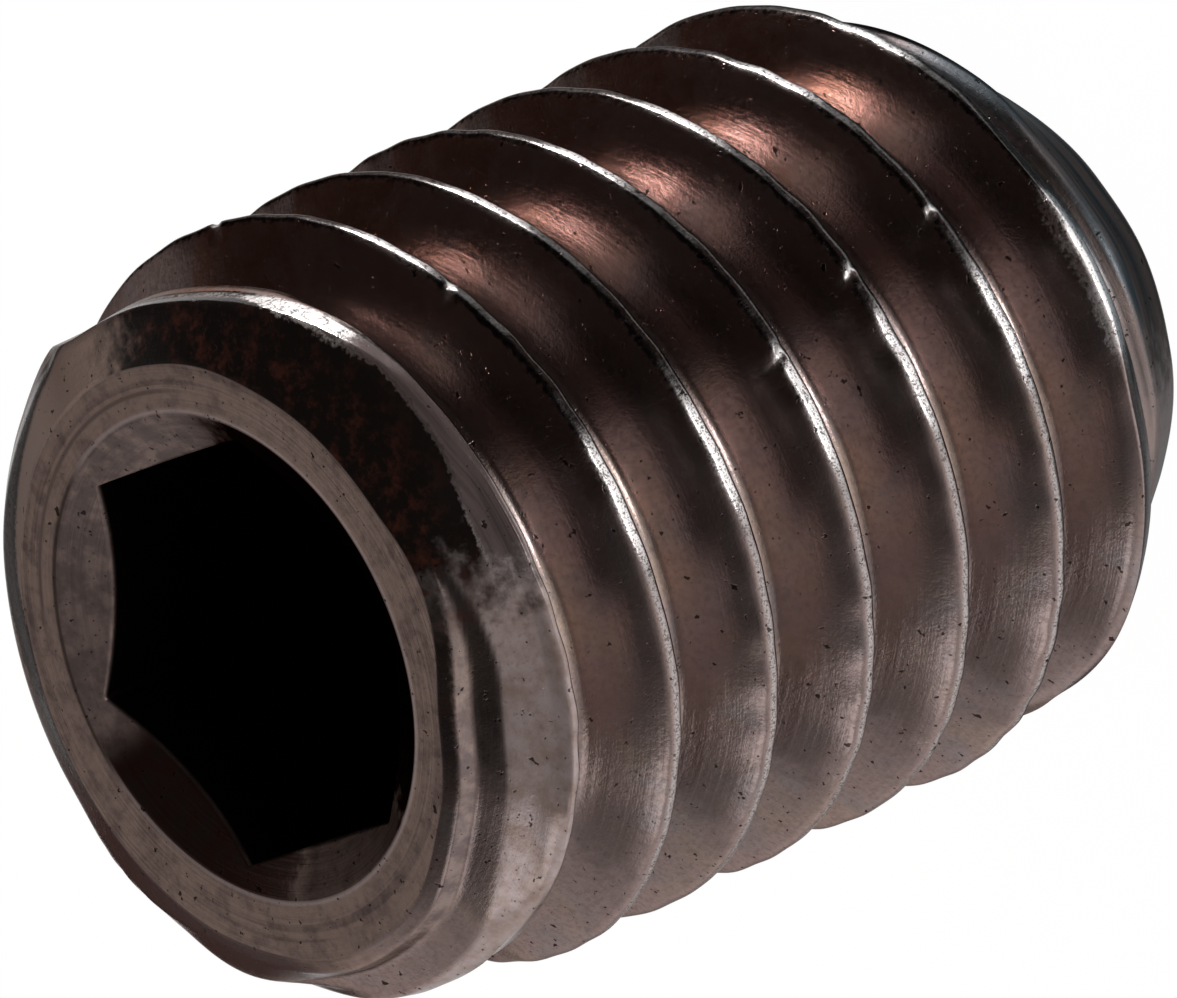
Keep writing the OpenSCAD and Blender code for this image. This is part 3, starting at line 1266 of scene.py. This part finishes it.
@dataclass(frozen=True)
class CrestLayers:
    """The thread's crests: dark oxide, worn bright in places, with painted glints where highlights fall and
    painted reflection in the oxide's tone.
    """

    glint_hill_turns: tuple = ((39.0, 48.0, 51.0, 60.0), (-14.0, -4.0, 2.0, 11.0))
    glint_turn: tuple = (-66.0, -56.0, -48.0, -38.0)
    glint_start: tuple = (5.85, 5.92, 6.08, 6.15)
    strip_glint_turn: tuple = (34.0, 39.0, 55.0, 62.0)
    strip_faint_glint_turn: tuple = (50.0, 62.0, 0.0, 0.2)
    patchy: tuple = (0.32, 0.58, 0.2, 1.25)
    half_width: tuple = (0.08, 0.05)

    def wear_and_glints(self, chart: Chart, zones: Zones) -> Signal:
        """How bright the crests are, from 0 to 1: worn metal, with painted glints where highlights fall.

        Args:
            chart: The signals to read.
            zones: The shared masks.

        Returns:
            The brightness, painted glints included.
        """
        # Painted glints: the crests are made bright over the turns where highlights fall, on the last crest
        # and round one more glint.
        upper, lower = self.glint_hill_turns
        glint_hills = chart.turn.over(upper) | chart.turn.over(lower)
        # Painted highlight: a thin light line down each crest's middle, stronger at the lower front.
        line = chart.away.spread(0.05, 0.02) * (zones.low_front * 0.2 + 0.05)
        wear_and_glints = glint_hills * 0.9 + (line + 0.03) + zones.last
        glint = chart.ragged_turn.over(self.glint_turn) * chart.start.over(self.glint_start)
        wear_and_glints = wear_and_glints + glint * 0.5
        # Painted glint: the worn facet is bright over the turns where the highlight falls on it, faint past
        # them and dull elsewhere.
        strip_glint = chart.soft_turn.over(self.strip_glint_turn)
        strip_wear_and_glint = (strip_glint | chart.soft_turn.spread(*self.strip_faint_glint_turn)) + 0.12
        wear_and_glints = wear_and_glints + zones.strip * (strip_wear_and_glint - wear_and_glints)
        patchy = (chart.fine + chart.jag * 0.8).spread(*self.patchy)
        wear_and_glints = chart.board.math("MULTIPLY", wear_and_glints, patchy, clamp=True)
        return wear_and_glints * (1.0 - zones.first * 0.85) | chart.nick

    def crest(self, chart: Chart, zones: Zones) -> Signal:
        """Where the crests lie, with ragged edges.

        Args:
            chart: The signals to read.
            zones: The shared masks.

        Returns:
            A mask from 0 to 1.
        """
        narrow = zones.low_front * ~zones.first * 0.035
        crest = (chart.away + narrow + chart.jag * 0.08).spread(*self.half_width)
        crest = crest * ~chart.band | (chart.nick | zones.last)
        crest = crest * ~(zones.before * chart.turn.spread(-180.0, -150.0) | chart.face)
        return (crest | zones.strip) * ~zones.cone

    def lay(self, coat: Coat, chart: Chart, zones: Zones, palette: Palette) -> None:
        """Lays the crests with their painted glints and reflection, and then the dull part of the worn facet.
        """
        board = chart.board
        # Painted reflection: the crests' oxide is near black over most turns, where they mirror dark
        # surroundings, and paler at the lower front, where they mirror the pale floor.
        oxide = board.tint(zones.low_front, palette.crest_dark, palette.crest_low)
        worn = board.tint(self.wear_and_glints(chart, zones), oxide, palette.bright)
        coat.lay(self.crest(chart, zones), worn)
        lined = board.tint(chart.lines.spread(0.42, 0.66) * 0.15, palette.smoke_and_shade, palette.light)
        coat.lay(zones.dull_strip, lined)


@dataclass(frozen=True)
class FaceLayers:
    """The turned ring and its rim, with a painted highlight at the left, and the countersink and the socket's
    inside, painted dark as painted shade.
    """

    groove_r: tuple = (2.02, 2.045, 2.055, 2.08)
    groove_turn: tuple = (62.0, 80.0, 150.0, 172.0)
    rim_reach: tuple = (-0.01, 0.008, 0.02, 0.05)
    sink_left_turn: tuple = (55.0, 78.0)

    def lay(self, coat: Coat, chart: Chart, zones: Zones, palette: Palette) -> None:
        """Lays the ring with its turning marks and its rim, then the painted shade in the countersink and the
        socket.
        """
        board, patch = chart.board, chart.patch
        mottle = patch.spread(0.4, 0.68) * 0.45 + chart.arcs.spread(0.5, 0.68) * 0.4
        mottle = mottle + chart.grain.spread(0.45, 0.7) * 0.15
        groove = chart.radius.over(self.groove_r) * chart.ragged_turn.over(self.groove_turn)
        ring = board.tint(mottle | groove * 0.7, palette.ring, palette.smoke_and_shade)
        rim = chart.radius.over(tuple(chart.form.rim_r + reach for reach in self.rim_reach))
        # Painted highlight: the rim's edge is light at the left and black elsewhere.
        edge = board.tint(zones.face_left, palette.light, palette.black)
        coat.lay(chart.face, board.tint(rim * 0.7, ring, edge))
        # Painted shade: the countersink is dimmed from turn 55 round the back to -160, near black over the
        # front turns, and dim and reddish-dark over the lower turns.
        sink_left = chart.turn.spread(*self.sink_left_turn) | zones.face_left
        coat.lay(chart.sink * sink_left * patch.spread(0.3, 0.6, 0.35, 0.8), palette.smoke_and_shade)
        reddish = zones.sink_red * patch.spread(0.35, 0.65, 0.1, 0.8)
        coat.lay(chart.sink * zones.sink_shade, board.tint(reddish, palette.socket, palette.rust))
        # Painted shade: the socket's inside is painted near black.
        coat.lay(chart.socket, palette.socket)


@dataclass(frozen=True)
class DarkSteel:
    """Rolled alloy steel under a thin brown-black oxide, rubbed bright on the crests, with painted glints,
    reflections and shade laid into its colour.
    """

    form: ScrewForm = field(default_factory=ScrewForm)
    palette: Palette = Palette()
    flanks: FlankLayers = FlankLayers()
    lead: LeadLayers = LeadLayers()
    cone: ConeLayers = ConeLayers()
    crests: CrestLayers = CrestLayers()
    face: FaceLayers = FaceLayers()
    bump_strength: float = 0.3
    bump_distance: float = 0.00001
    specular: float = 0.2

    def colour(self, chart: Chart, zones: Zones) -> object:
        """The whole coat, from the flanks to the dark specks."""
        coat = Coat(chart.board, self.palette.body)
        self.flanks.lay(coat, chart, self.palette)
        self.lead.lay(coat, chart, zones, self.palette)
        self.cone.lay(coat, chart, zones, self.palette)
        self.crests.lay(coat, chart, zones, self.palette)
        self.face.lay(coat, chart, zones, self.palette)
        coat.lay(chart.speck * 0.85, self.palette.black)
        return coat.colour

    def roughness(self, chart: Chart, zones: Zones) -> Signal:
        """Glossy with a fine grain, and duller on the face, in the socket and on the cone."""
        grain = chart.grain.spread(0.25, 0.75, 0.17, 0.25)
        return grain + chart.face * 0.1 + chart.socket * 0.2 + zones.cone * 0.1

    def relief(self, chart: Chart) -> Signal:
        """Height of the turning lines, which are deeper on the face, the grain and the pits."""
        relief = chart.lines * 0.45 + chart.grain * 0.6 + chart.fine * 0.3
        return relief + chart.face * chart.lines * 0.9 - chart.speck * 1.5

    def metal(self, chart: Chart, zones: Zones) -> Signal:
        """How metallic the surface is: less where the oxide is thick, as on the black of the lead chamfer."""
        thick = (zones.black_oxide_and_shade | zones.red_rim) * zones.off_face | chart.sink * ~zones.sink_shade * 0.7
        thick = thick | (zones.dull_strip | chart.band | zones.crown * zones.left_side) * 0.6
        thick = thick | zones.cone * zones.cone_low * 0.6
        return 1.0 - thick * 0.95 * ~chart.socket

    def material(self) -> bpy.types.Material:
        """Builds the finish.

        Returns:
            The material.
        """
        made = bpy.data.materials.new("dark_oxide_steel")
        made.use_nodes = True
        board = NodeBoard(made.node_tree)
        chart = Chart(board, self.form)
        zones = Zones(chart)
        depth = {"Strength": self.bump_strength, "Distance": self.bump_distance}
        shader = board.node(
            "ShaderNodeBsdfPrincipled",
            Base_Color=self.colour(chart, zones),
            Roughness=self.roughness(chart, zones),
            Normal=board.node("ShaderNodeBump", Height=self.relief(chart), **depth).outputs[0],
            Metallic=self.metal(chart, zones),
            Specular_IOR_Level=self.specular,
            Specular_Tint=self.palette.sheen,
        )
        board.output("ShaderNodeOutputMaterial", shader)
        return made


@dataclass
class SetScrew:
    """The finished screw."""

    skin: ScrewSkin = field(default_factory=ScrewSkin)
    finish: DarkSteel = field(default_factory=DarkSteel)

    def build(self) -> bpy.types.Object:
        """Builds and dresses the screw, and lets it stand for its CAD node."""
        piece = self.skin.build("socket_set_screw")
        piece.data.materials.append(self.finish.material())
        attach(piece, "root")
        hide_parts("screw")
        return piece


def direction(azimuth: float, elevation: float) -> np.ndarray:
    """Unit vector at an angle from +X towards +Y and above the horizon, in degrees."""
    a, e = math.radians(azimuth), math.radians(elevation)
    return np.array([math.cos(a) * math.cos(e), math.sin(a) * math.cos(e), math.sin(e)])


def place(thing: bpy.types.Object, origin: np.ndarray, axes: tuple) -> None:
    """Puts an object at origin with its own X, Y and Z along the given axes."""
    matrix = np.eye(4)
    matrix[:3] = np.array([*axes, origin]).T
    thing.matrix_world = Matrix(matrix.tolist())


@dataclass(frozen=True)
class Softbox:
    """A soft lamp that faces the screw.

    The light's brightness is radiance: 1 shows in a mirror as plain white.
    """

    name: str
    azimuth: float
    elevation: float
    wide: float
    high: float
    radiance: float
    colour: tuple = (1.0, 1.0, 1.0)
    away: float = 0.35

    def light(self, centre: np.ndarray) -> bpy.types.Object:
        """Hangs the lamp.

        Args:
            centre: The point that it faces, in metres.

        Returns:
            The light object.
        """
        wide = 2.0 * self.away * math.tan(math.radians(self.wide / 2.0))
        high = 2.0 * self.away * math.tan(math.radians(self.high / 2.0))
        lamp = bpy.data.lights.new(self.name, "AREA")
        lamp.shape, lamp.size, lamp.size_y = "ELLIPSE", wide, high
        lamp.energy = self.radiance * math.pi * wide * high
        lamp.color = self.colour
        out = direction(self.azimuth, self.elevation)
        across = np.cross([0.0, 0.0, 1.0], out)
        across /= np.linalg.norm(across)
        hung = bpy.data.objects.new(self.name, lamp)
        bpy.context.collection.objects.link(hung)
        place(hung, centre + out * self.away, (across, np.cross(out, across), out))
        hung.visible_camera = False
        return hung


@dataclass(frozen=True)
class DarkCard:
    """A curved card of dark paper near the screw, which only its reflections show.

    Its section is a line through (distance from the axis, height) points in
    millimetres, swept round the axis between two azimuths.
    """

    name: str
    first: float
    last: float
    section: tuple
    level: float = 0.012
    colour: tuple = (1.0, 0.65, 0.55, 1.0)
    columns: int = 33

    def stand(self) -> bpy.types.Object:
        """Makes the card and hides it from all but glossy rays.

        Returns:
            The card.
        """
        turns = np.radians(np.linspace(self.first, self.last, self.columns))
        r, z = np.array(self.section, dtype=float).T[..., None]
        grid = np.stack([r * np.cos(turns), r * np.sin(turns), z + 0.0 * turns], -1)
        number = np.arange(grid[..., 0].size).reshape(grid.shape[:2])
        corners = [number[:-1, :-1], number[1:, :-1], number[1:, 1:], number[:-1, 1:]]
        quads = np.stack(corners, -1).reshape(-1, 4)
        mesh = bpy.data.meshes.new(self.name)
        mesh.from_pydata((grid.reshape(-1, 3) * MM).tolist(), [], quads.tolist())
        card = bpy.data.objects.new(self.name, mesh)
        bpy.context.collection.objects.link(card)
        card.visible_camera = card.visible_diffuse = card.visible_shadow = card.visible_transmission = False
        paint = bpy.data.materials.new(self.name)
        paint.use_nodes = True
        board = NodeBoard(paint.node_tree)
        paint.cycles.emission_sampling = "NONE"
        paper = board.node("ShaderNodeEmission", Color=self.colour, Strength=self.level)
        board.output("ShaderNodeOutputMaterial", paper)
        mesh.materials.append(paint)
        return card


@dataclass
class Studio:
    """Floor, room, lamps and dark cards."""

    centre: tuple = (0.0, 0.0, 0.0039)
    floor_half: float = 1.5
    floor_gap: float = 0.00002
    floor_glow: float = 1.06
    floor_glow_share: float = 0.92
    boxes: tuple = (
        Softbox("key", 170.0, 34.0, 26.0, 22.0, 0.8),
        Softbox("low_front", 265.0, 9.0, 16.0, 14.0, 5.0),
        Softbox("side_strip", 357.0, -5.4, 18.0, 10.5, 30.0, (1.0, 0.95, 0.92), 0.02),
    )
    cards: tuple = (
        DarkCard("dark_side", -76.0, -38.0, ((22.0, 0.1), (22.0, 16.0))),
        DarkCard("dark_right", 7.0, 46.5, ((22.0, 0.1), (22.0, 16.0)), 0.03),
        DarkCard("dark_middle", -38.0, 7.0, ((22.0, 4.5), (22.0, 16.0))),
        DarkCard("dark_over", -98.0, 48.0, ((22.0, 16.0), (22.0, 38.0), (0.3, 38.0)), 0.02),
        DarkCard("dark_foot", -76.0, -38.0, ((6.0, 0.1), (22.0, 0.1)), 0.12),
        # Painted shadow: a dim sheet under the point, which the cone mirrors in place of the shadowed floor.
        DarkCard("painted_contact_shadow", -180.0, 180.0, ((2.0, 0.02), (4.2, 0.02)), 0.3, (0.8, 0.93, 1.0, 1.0)),
        DarkCard("grey_back", 46.5, 91.0, ((24.0, 0.1), (24.0, 18.0)), 0.27, (1.0, 0.95, 0.92, 1.0)),
        DarkCard("red_back", 91.0, 118.0, ((24.0, 0.1), (24.0, 12.0)), 0.06, (1.0, 0.5, 0.42, 1.0)),
    )

    def floor(self) -> bpy.types.Object:
        """A wide pale floor under the point, which lets a camera under it see through."""
        mesh = bpy.data.meshes.new("floor")
        corners = np.array([[-1, -1, 0], [1, -1, 0], [1, 1, 0], [-1, 1, 0]]) * self.floor_half
        mesh.from_pydata((corners - [0, 0, self.floor_gap]).tolist(), [], [(0, 1, 2, 3)])
        made = bpy.data.objects.new("floor", mesh)
        bpy.context.collection.objects.link(made)
        paint = bpy.data.materials.new("pale_floor")
        paint.use_nodes = True
        board = NodeBoard(paint.node_tree)
        rays = board.node("ShaderNodeLightPath").outputs
        straight = Signal(board, rays["Is Camera Ray"]) | Signal(board, rays["Is Glossy Ray"])
        seen = (straight | Signal(board, rays["Is Transmission Ray"])) * self.floor_glow_share
        paper = board.node("ShaderNodeBsdfDiffuse", Color=(0.86, 0.86, 0.86, 1.0))
        glow = board.node("ShaderNodeEmission", Color=(1.0, 1.0, 1.0, 1.0), Strength=self.floor_glow)
        lit = board.node("ShaderNodeMixShader", i0=seen, i1=paper.outputs[0], i2=glow.outputs[0])
        clear = board.node("ShaderNodeBsdfTransparent")
        under = board.node("ShaderNodeNewGeometry").outputs["Backfacing"]
        both = board.node("ShaderNodeMixShader", i0=under, i1=lit.outputs[0], i2=clear.outputs[0])
        board.output("ShaderNodeOutputMaterial", both)
        mesh.materials.append(paint)
        return made

    def room(self) -> None:
        """Lights the room evenly from the sides.

        The level is (1 - height)^1.2 + 0.02, where height is 0 at the
        horizon and below it and 1 straight up.
        """
        world = bpy.data.worlds.new("room")
        bpy.context.scene.world = world
        world.use_nodes = True
        board = NodeBoard(world.node_tree)
        out = board.node("ShaderNodeTexCoord").outputs["Generated"]
        height = Signal(board, board.node("ShaderNodeSeparateXYZ", i0=out).outputs[2]) | 0.0
        level = board.math("POWER", 1.0 - height, 1.2) + 0.02
        sky = board.node("ShaderNodeBackground", Color=(1.0, 0.95, 0.93, 1.0), Strength=level)
        board.output("ShaderNodeOutputWorld", sky)

    def build(self) -> None:
        """Sets the floor, the room's even light, the lamps and the cards."""
        self.floor()
        self.room()
        for box in self.boxes:
            box.light(np.array(self.centre))
            log.info("lamp %s", box.name)
        for card in self.cards:
            card.stand()
            log.info("card %s", card.name)


@dataclass
class PhotoCamera:
    """A long lens that looks down on the screw from the front, rolled on its side.

    The screw's axis runs from the lower left of the picture to the upper
    right. The aim is the point on the axis that the picture's middle would
    show without the offset, in millimetres.
    """

    elevation: float = 38.99
    roll: float = 114.14
    lens: float = 738.0
    away: float = 178.0
    aim: float = 4.28
    right: float = 0.1232
    up: float = 0.0553

    def build(self) -> bpy.types.Object:
        """Makes the camera and gives it to the scene."""
        out = direction(-90.0, self.elevation)
        level_x, level_y = np.array([1.0, 0.0, 0.0]), np.cross(out, [1.0, 0.0, 0.0])
        c, s = math.cos(math.radians(self.roll)), math.sin(math.radians(self.roll))
        x_axis, y_axis = c * level_x - s * level_y, s * level_x + c * level_y
        lens = bpy.data.cameras.new("camera")
        lens.lens, lens.sensor_width = self.lens, 36.0
        lens.clip_start, lens.clip_end = 0.005, 5.0
        camera = bpy.data.objects.new("camera", lens)
        bpy.context.collection.objects.link(camera)
        spot = np.array([0.0, 0.0, self.aim]) + out * self.away + x_axis * self.right + y_axis * self.up
        place(camera, spot * MM, (x_axis, y_axis, out))
        bpy.context.scene.camera = camera
        return camera


def main() -> None:
    """Builds the camera, the studio and the screw in order."""
    scene = bpy.context.scene
    scene.view_settings.view_transform = "Standard"
    PhotoCamera().build()
    log.info("camera")
    Studio().build()
    log.info("studio")
    screw = SetScrew().build()
    log.info("screw %s", screw.name)


if __name__ == "__main__":
    main()
